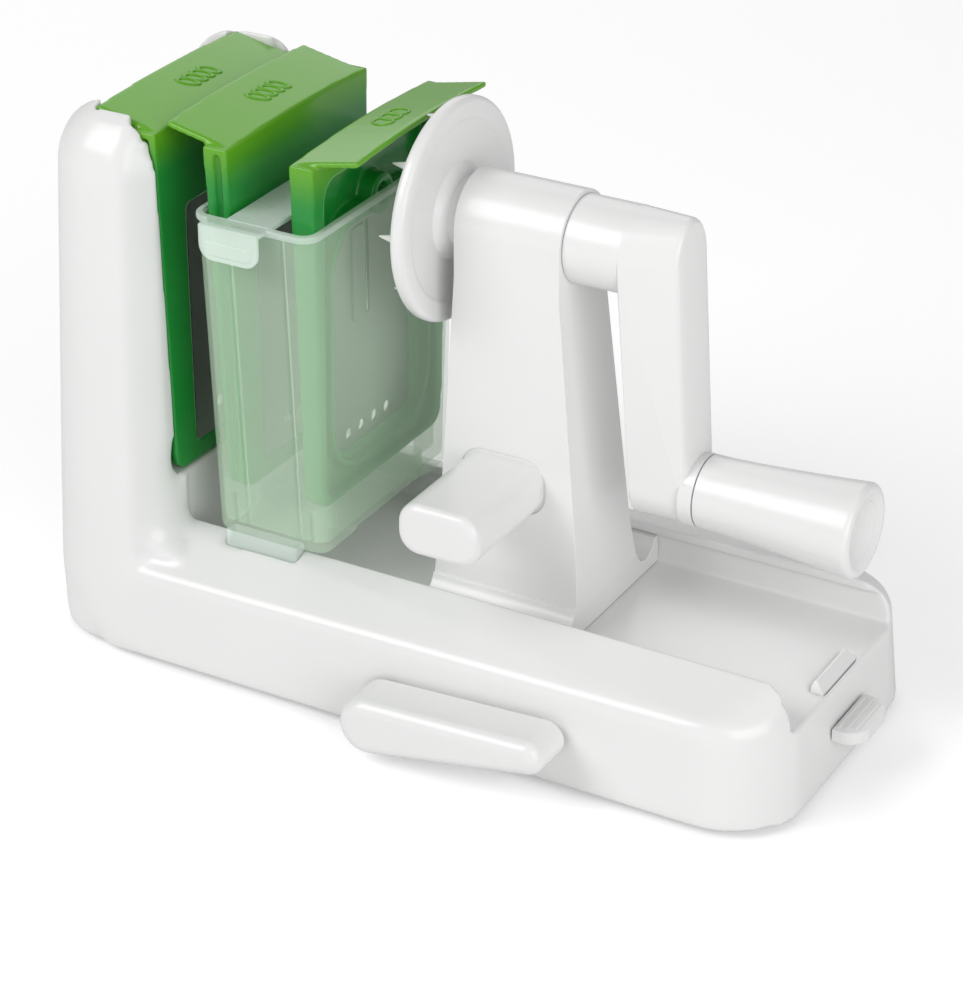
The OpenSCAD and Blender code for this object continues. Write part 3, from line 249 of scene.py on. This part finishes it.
white_abs = moulded_plastic("white_abs", white_tone, white_rough)
housing = copy_of_solid("housing", "tower_and_base")
join_in(housing, soft_block("front_plane", *front_cut), "DIFFERENCE")
join_in(housing, soft_block("full_heel", *heel_block, heel_corner, heel_edge))
cast_as_one(housing, housing_cell)
ease(housing, edge_passes)
ease(housing, shoulder_passes, lambda p: (abs(p.y) - shoulder_y) / shoulder_fade)
ease(housing, heel_passes, lambda p: min((heel_x - p.x) / heel_fade, (heel_z - p.z) / heel_fade,
                                         (p.z - heel_foot_z) / heel_foot_fade))
ease(housing, root_passes,
     lambda p: min((p.x - root_x[0]) / root_fade, (root_x[1] - p.x) / root_fade,
                   (p.z - root_z[0]) / root_fade, (root_z[1] - p.z) / root_top_fade,
                   (abs(p.y) - root_y) / root_side_fade))
thin_out(housing, housing_triangles)
join_in(housing, soft_block("front_plane", *front_cut), "DIFFERENCE")
join_in(housing, soft_block("pocket", pocket_low, pocket_high, wide_top=(pocket_top_y, 0.0)),
        "DIFFERENCE")
smooth_shade(housing, housing_crisp)
dress(housing, white_abs)
belongs(housing, "base")

# Bottom cover, its screws and the feet
# A flat white cover closes the base from below. Six steel screws hold it to the bosses.
# Four rubber pads are glued into shallow beds near its corners.
cover_tone = (0.72, 0.72, 0.71)
steel_tone = (0.55, 0.56, 0.57)
rubber_tone = (0.045, 0.045, 0.048)
cover_rough = 0.42
steel_rough = 0.28
even_marks = (900, 900, 900)


def recoat(node, paint):
    """Gives a CAD solid that keeps its shape a better finish."""
    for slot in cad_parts[node].material_slots:
        slot.material = paint


def turned_steel(name, tone, rough, lay):
    """Bright steel with the fine marks of the tool or the brush, drawn out along one axis."""
    metal = bpy.data.materials.new(name)
    metal.use_nodes = True
    tree = metal.node_tree
    shader = tree.nodes["Principled BSDF"]
    shader.inputs["Metallic"].default_value = 1.0
    shader.inputs["Base Color"].default_value = (*tone, 1)
    place = tree.nodes.new("ShaderNodeTexCoord")
    stretch = tree.nodes.new("ShaderNodeMapping")
    stretch.inputs["Scale"].default_value = lay
    tree.links.new(place.outputs["Object"], stretch.inputs["Vector"])
    marks = tree.nodes.new("ShaderNodeTexNoise")
    marks.inputs["Scale"].default_value = 1.0
    marks.inputs["Detail"].default_value = 4.0
    tree.links.new(stretch.outputs["Vector"], marks.inputs["Vector"])
    spread = tree.nodes.new("ShaderNodeMapRange")
    spread.inputs["To Min"].default_value = rough * 0.7
    spread.inputs["To Max"].default_value = rough * 1.3
    tree.links.new(marks.outputs["Fac"], spread.inputs["Value"])
    tree.links.new(spread.outputs["Result"], shader.inputs["Roughness"])
    return metal


def soft_rubber(name, tone):
    """Dull, slightly dusty rubber."""
    gum = bpy.data.materials.new(name)
    gum.use_nodes = True
    tree = gum.node_tree
    shader = tree.nodes["Principled BSDF"]
    place = tree.nodes.new("ShaderNodeTexCoord")
    dust = tree.nodes.new("ShaderNodeTexNoise")
    dust.inputs["Scale"].default_value = 160.0
    tree.links.new(place.outputs["Object"], dust.inputs["Vector"])
    hue = tree.nodes.new("ShaderNodeMix")
    hue.data_type = "RGBA"
    hue.inputs["A"].default_value = (*tone, 1)
    hue.inputs["B"].default_value = (*[c * 1.6 for c in tone], 1)
    tree.links.new(dust.outputs["Fac"], hue.inputs["Factor"])
    tree.links.new(hue.outputs["Result"], shader.inputs["Base Color"])
    shader.inputs["Roughness"].default_value = 0.75
    return gum


cover_plastic = moulded_plastic("cover_plastic", cover_tone, cover_rough)
bright_steel = turned_steel("bright_steel", steel_tone, steel_rough, even_marks)
black_rubber = soft_rubber("black_rubber", rubber_tone)
recoat("bottom_cover", cover_plastic)
recoat("cover_screws", bright_steel)
recoat("rubber_feet", black_rubber)

# Suction foot
# Half a turn of the side lever draws the rubber pad up by a cam in the pull rod's yoke.
# The lever is a chunky white bar with soft edges, pressed onto a steel shaft.
cam_rough = 0.35
lever_crisp = 50
recoat("suction_pad", black_rubber)
recoat("pull_rod", bright_steel)
recoat("lever_shaft", bright_steel)
recoat("shaft_ring", bright_steel)
recoat("lever_cam", moulded_plastic("cam_plastic", white_tone, cam_rough))
lever = copy_of_solid("suction_lever", "side_lever")
smooth_shade(lever, lever_crisp)
dress(lever, white_abs)
belongs(lever, "lever")

# Stop latch
# One white moulding: the catch that keeps the carriage in, and the ridged tab that is pressed
# to let it out. A steel compression spring below it pushes it up again.
latch_edge = 0.0005
latch_crisp = 50
bevel_steps = 3
bevel_from = 32


def break_edges(piece, width):
    """Takes the sharpness off the edges of a piece whose faces stay true."""
    finish_with(piece, "BEVEL", width=width, segments=bevel_steps, limit_method="ANGLE",
                angle_limit=math.radians(bevel_from), use_clamp_overlap=True, miter_outer="MITER_ARC")


latch = copy_of_solid("stop_latch", "carriage_latch")
break_edges(latch, latch_edge)
smooth_shade(latch, latch_crisp)
dress(latch, white_abs)
belongs(latch, "latch")
recoat("latch_spring", bright_steel)

# Carriage
# Foot, pillar and bearing tube are one white moulding, with plain bushes pressed into the tube.
# The push grip is a separate blunt bar, drawn into its seat by a screw from the far side.
carriage_edge = 0.0012
carriage_crisp = 50
bush_tone = (0.66, 0.66, 0.62)
bush_rough = 0.4
carriage = copy_of_solid("carriage", "carriage_pillar")
break_edges(carriage, carriage_edge)
smooth_shade(carriage, carriage_crisp)
dress(carriage, white_abs)
belongs(carriage, "carriage")
bush_plastic = moulded_plastic("bush_plastic", bush_tone, bush_rough)
recoat("rear_bush", bush_plastic)
recoat("front_bush", bush_plastic)
push_grip = copy_of_solid("push_grip", "push_handle")
smooth_shade(push_grip, carriage_crisp)
dress(push_grip, white_abs)
belongs(push_grip, "carriage")
recoat("push_grip_screw", bright_steel)

# Spindle, food holder and crank
# The steel spindle carries the white spiked disc at one end and the crank at the other.
# Collar and arm are white mouldings, and the loose grip turns on a steel pin under its cap.
round_crisp = 35
arm_crisp = 50
recoat("spindle_shaft", bright_steel)
recoat("holder_screw", bright_steel)
recoat("grip_pin", bright_steel)
holder = copy_of_solid("food_holder", "spiked_disc")
smooth_shade(holder, round_crisp)
dress(holder, white_abs)
belongs(holder, "crank")
collar = copy_of_solid("crank_collar", "spindle_collar")
smooth_shade(collar, round_crisp)
dress(collar, white_abs)
belongs(collar, "crank")
arm = copy_of_solid("crank_arm", "crank_bar")
smooth_shade(arm, arm_crisp)
dress(arm, white_abs)
belongs(arm, "crank")
grip = copy_of_solid("crank_grip", "turning_grip")
smooth_shade(grip, arm_crisp)
dress(grip, white_abs)
belongs(grip, "grip")
recoat("grip_cap", white_abs)

# Cassettes
# Three green frames with a crowned cap each, a stamped steel plate and a bent blade.
# The first stands in the tower, the other two in the container. Each cap bears raised curls.
leaf_green = (0.12, 0.38, 0.015)
# The deep green is partly the frame's own deeper tone and partly painted shade on the lower frame.
deep_green_and_shade = (0.010, 0.26, 0.035)
cap_low_z = 0.186
cap_high_z = 0.204
green_rough = 0.2
green_drift = 0.05
plate_tone = (0.30, 0.31, 0.30)
plate_rough = 0.36
rolled_marks = (60, 900, 60)
cassette_cell = 0.0007
cassette_passes = 7
cassette_triangles = 70000
curl_wire = 0.0005
loop_steps = 36
wire_steps = 8
above_caps_z = 0.3
narrow_curls = {"count": 4, "half_width": 0.0019, "half_length": 0.0040, "pitch": 0.0044, "slant": 28}
wide_curls = {"count": 3, "half_width": 0.0032, "half_length": 0.0046, "pitch": 0.0052, "slant": -24}
curls = {1: {"x": -0.11265, **narrow_curls}, 2: {"x": -0.08315, **narrow_curls},
         3: {"x": -0.03255, **wide_curls}}


def green_with_painted_shade(name):
    """Glossy green plastic, deeper low in the frame and lighter up at the cap: partly its own tone,
    partly painted shade.
    """
    paint = moulded_plastic(name, leaf_green, green_rough, drift=green_drift)
    tree = paint.node_tree
    shader = tree.nodes["Principled BSDF"]
    drifting = shader.inputs["Base Color"].links[0].from_socket
    place = tree.nodes.new("ShaderNodeTexCoord")
    split = tree.nodes.new("ShaderNodeSeparateXYZ")
    tree.links.new(place.outputs["Object"], split.inputs["Vector"])
    height = tree.nodes.new("ShaderNodeMapRange")
    height.interpolation_type = "SMOOTHSTEP"
    height.inputs["From Min"].default_value = cap_low_z
    height.inputs["From Max"].default_value = cap_high_z
    tree.links.new(split.outputs["Z"], height.inputs["Value"])
    # Below the cap the green fades to the deep green: partly the frame's own tone, partly painted
    # shade.
    shade_blend = tree.nodes.new("ShaderNodeMix")
    shade_blend.data_type = "RGBA"
    shade_blend.inputs["A"].default_value = (*deep_green_and_shade, 1)
    tree.links.new(height.outputs["Result"], shade_blend.inputs["Factor"])
    tree.links.new(drifting, shade_blend.inputs["B"])
    tree.links.new(shade_blend.outputs["Result"], shader.inputs["Base Color"])
    return paint


def raised_curls(name, carrier, x, count, half_width, half_length, pitch, slant):
    """A row of raised loops of plastic strand on top of the carrier, half sunk in its skin."""
    row = []
    for i in range(count):
        y = (i - (count - 1) / 2) * pitch
        _, spot, normal, _ = carrier.ray_cast(Vector((x, y, above_caps_z)), Vector((0, 0, -1)))
        bpy.ops.object.select_all(action="DESELECT")
        bpy.ops.mesh.primitive_torus_add(major_segments=loop_steps, minor_segments=wire_steps,
                                         major_radius=1.0, minor_radius=curl_wire / half_width)
        loop = bpy.context.object
        loop.scale = (half_length, half_width, half_width)
        loop.rotation_euler = (0, 0, math.radians(slant))
        bpy.ops.object.transform_apply(location=False, rotation=True, scale=True)
        loop.rotation_mode = "QUATERNION"
        loop.rotation_quaternion = Vector((0, 0, 1)).rotation_difference(normal)
        loop.location = spot
        bpy.ops.object.transform_apply(location=True, rotation=True, scale=True)
        row.append(loop)
    bpy.ops.object.select_all(action="DESELECT")
    for loop in row:
        loop.select_set(True)
    bpy.context.view_layer.objects.active = row[0]
    bpy.ops.object.join()
    row[0].name = name
    bpy.ops.object.shade_smooth()
    return row[0]


green_abs_shaded_low = green_with_painted_shade("green_abs_shaded_low")
stamped_steel = turned_steel("stamped_steel", plate_tone, plate_rough, rolled_marks)
for number in (1, 2, 3):
    body = f"cassette_{number}"
    blade_frame = copy_of_solid(f"{body}_frame", f"blade_frame_{number}")
    cast_as_one(blade_frame, cassette_cell)
    ease(blade_frame, cassette_passes)
    thin_out(blade_frame, cassette_triangles)
    smooth_shade(blade_frame)
    dress(blade_frame, green_abs_shaded_low)
    belongs(blade_frame, body)
    curl_row = raised_curls(f"cap_curls_{number}", blade_frame, **curls[number])
    dress(curl_row, green_abs_shaded_low)
    belongs(curl_row, body)
    recoat(f"{body}_plate", stamped_steel)
    recoat(f"{body}_blade", stamped_steel)

# Container
# A thin translucent tub that stands with two feet in the rails and stores two cassettes.
# It is moulded in one piece, with a lip all round, a bridge between the cassettes, a lifting tab,
# two ribs and four props inside.
x0, x1 = -0.08226, -0.03429
low_y = 0.045
low_z = 0.053
rim_z = 0.180
tub_rim_y = 0.0513
tub_taper = 0.001
tub_wall = 0.0014
tub_floor = 0.0044
tub_corner = 0.006
tub_heel = 0.0025
rim_out = 0.0009
rim_high = 0.0026
bridge_x = (-0.0686, -0.0508)
bridge_thick = 0.0016
rib_x = ((-0.0695, -0.0682), (-0.0476, -0.0463))
foot_x = (-0.0781, -0.0481)
foot_y = (0.039, 0.045)
foot_low = 0.042
prop_x = ((-0.0748, -0.0732), (-0.0425, -0.0409))
prop_y = (0.029, 0.0448)
prop_top = 0.0692
tunnel_half = 0.024
tunnel_high = 0.056
tab_x = (-0.0753, -0.0513)
tab_reach = 0.0060
tab_drop = 0.0130
tab_thick = 0.0018
tab_corner = 0.0055
tab_soft = 0.0006
tab_pad_in = 0.0022
tab_pad_out = 0.0006
tab_pad_top = 0.0055
rim_soft = 0.0008
rib_deep = 0.0026
bridge_proud = 0.0003
over = 0.0001
tub_crisp = 42
frosted_tone = (0.75, 0.97, 0.74)
thick_tone = (0.86, 0.97, 0.90)
frost_rough = 0.28
frost_drift = 0.01
frost_grain = 0.02
thin_alpha = 0.26
thick_alpha = 0.5


def frosted_plastic(name, tone, alpha):
    """Milky greenish plastic that the green cassettes shine through."""
    paint = moulded_plastic(name, tone, frost_rough, drift=frost_drift, grain=frost_grain)
    paint.node_tree.nodes["Principled BSDF"].inputs["Alpha"].default_value = alpha
    return paint


lip_y = tub_rim_y + rim_out
tub = soft_block("storage_tub", (x0, -low_y, low_z), (x1 - tub_taper, low_y, rim_z),
                tub_corner, tub_heel, wide_top=(tub_rim_y, tub_taper))
join_in(tub, soft_block("lip", (x0 - rim_out, -lip_y, rim_z - rim_high), (x1 + rim_out, lip_y, rim_z),
                       tub_corner + rim_out, rim_soft))
for near, far in ((-foot_y[1], -foot_y[0]), foot_y):
    join_in(tub, soft_block("foot", (foot_x[0], near, foot_low), (foot_x[1], far, low_z + tub_wall),
                           0.0, rim_soft))
join_in(tub, soft_block("tab_top", (tab_x[0], -lip_y - tab_reach, rim_z - tab_thick),
                       (tab_x[1], -tub_rim_y, rim_z), 0.0, tab_soft))
join_in(tub, soft_block("tab_drop", (tab_x[0], -lip_y - tab_reach, rim_z - tab_drop),
                       (tab_x[1], -lip_y - tab_reach + tab_thick, rim_z),
                       tab_corner, tab_soft, axis=1, lower_only=True))
join_in(tub, soft_block("tab_pad", (tab_x[0] + tab_pad_in, -lip_y - tab_reach - tab_pad_out,
                                   rim_z - tab_drop + tab_pad_in),
                       (tab_x[1] - tab_pad_in, -lip_y - tab_reach + tab_thick / 2, rim_z - tab_pad_top),
                       tab_corner / 2, tab_soft, axis=1, lower_only=True))
join_in(tub, soft_block("hollow", (x0 + tub_wall, -low_y + tub_wall, low_z + tub_floor),
                       (x1 - tub_taper - tub_wall, low_y - tub_wall, rim_z + over),
                       tub_corner - tub_wall, 0.0, wide_top=(tub_rim_y - tub_wall, tub_taper)),
        "DIFFERENCE")
for near, far in rib_x:
    rib = soft_block("rib", (near, -low_y + tub_wall / 2, low_z + tub_wall),
                    (far, low_y - tub_wall / 2, rim_z - rim_high),
                    wide_top=(tub_rim_y - tub_wall / 2, 0.0))
    join_in(rib, soft_block("gap", (near - over, -low_y + rib_deep, low_z),
                           (far + over, low_y - rib_deep, rim_z),
                           wide_top=(tub_rim_y - rib_deep, 0.0)), "DIFFERENCE")
    join_in(tub, rib)
for near, far in prop_x:
    for low, high in (prop_y, (-prop_y[1], -prop_y[0])):
        join_in(tub, soft_block("prop", (near, low, low_z + tub_wall), (far, high, prop_top)))
join_in(tub, soft_block("bridge", (bridge_x[0], -tub_rim_y + tub_wall / 2, rim_z - bridge_thick),
                       (bridge_x[1], tub_rim_y - tub_wall / 2, rim_z + bridge_proud), 0.0, tab_soft))
join_in(tub, soft_block("tunnel", (x0 - rim_out, -tunnel_half, low_z - rim_high),
                       (x1 + rim_out, tunnel_half, tunnel_high)), "DIFFERENCE")
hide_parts("container")
smooth_shade(tub, tub_crisp)
thin_frost = frosted_plastic("thin_frost", frosted_tone, thin_alpha)
thick_frost = frosted_plastic("thick_frost", thick_tone, thick_alpha)
dress(tub, thin_frost)
tub.data.materials.append(thick_frost)
for face in tub.data.polygons:
    if face.center.z > rim_z - rim_high or face.center.z < low_z or face.center.y < -lip_y:
        face.material_index = 1
belongs(tub, "container")

# Floor and light
# A pale floor reads as white paper and takes the soft shadow of the tool. A big lamp shines
# from the left, a weaker one from the right, and a third from behind gives the caps and rails
# their sheen. Each lamp has its place, the side of its square and its power.
floor_side = 8.0
paper_tone = 0.86
paper_glow = 0.30
sky_strength = 0.40
key_lamp = ((-1.1, -1.4, 1.5), 1.3, 24)
side_lamp = ((1.3, -0.8, 0.6), 1.2, 12)
back_lamp = ((-0.9, 1.5, 1.2), 1.4, 6)


def white_paper(name):
    """Matt white paper that looks evenly white to the camera and still takes shadows."""
    paper = bpy.data.materials.new(name)
    paper.use_nodes = True
    tree = paper.node_tree
    shader = tree.nodes["Principled BSDF"]
    shader.inputs["Base Color"].default_value = (paper_tone, paper_tone, paper_tone, 1)
    shader.inputs["Roughness"].default_value = 0.9
    ray = tree.nodes.new("ShaderNodeLightPath")
    glow = tree.nodes.new("ShaderNodeEmission")
    glow.inputs["Strength"].default_value = paper_glow
    none = tree.nodes.new("ShaderNodeEmission")
    none.inputs["Strength"].default_value = 0.0
    choice = tree.nodes.new("ShaderNodeMixShader")
    total = tree.nodes.new("ShaderNodeAddShader")
    tree.links.new(ray.outputs["Is Camera Ray"], choice.inputs[0])
    tree.links.new(none.outputs[0], choice.inputs[1])
    tree.links.new(glow.outputs[0], choice.inputs[2])
    tree.links.new(shader.outputs[0], total.inputs[0])
    tree.links.new(choice.outputs[0], total.inputs[1])
    tree.links.new(total.outputs[0], tree.nodes["Material Output"].inputs["Surface"])
    return paper


bpy.ops.object.select_all(action="DESELECT")
bpy.ops.mesh.primitive_plane_add(size=floor_side, location=(0, 0, 0))
floor = bpy.context.object
floor.name = "floor"
floor.data.materials.append(white_paper("white_paper"))
world = bpy.data.worlds.new("studio")
world.use_nodes = True
world.node_tree.nodes["Background"].inputs[0].default_value = (1, 1, 1, 1)
world.node_tree.nodes["Background"].inputs[1].default_value = sky_strength
bpy.context.scene.world = world
for place, size, power in (key_lamp, side_lamp, back_lamp):
    bpy.ops.object.light_add(type="AREA", location=place)
    lamp = bpy.context.object
    lamp.data.size = size
    lamp.data.energy = power
    lamp.rotation_euler = (-Vector(place)).to_track_quat("-Z", "Y").to_euler()
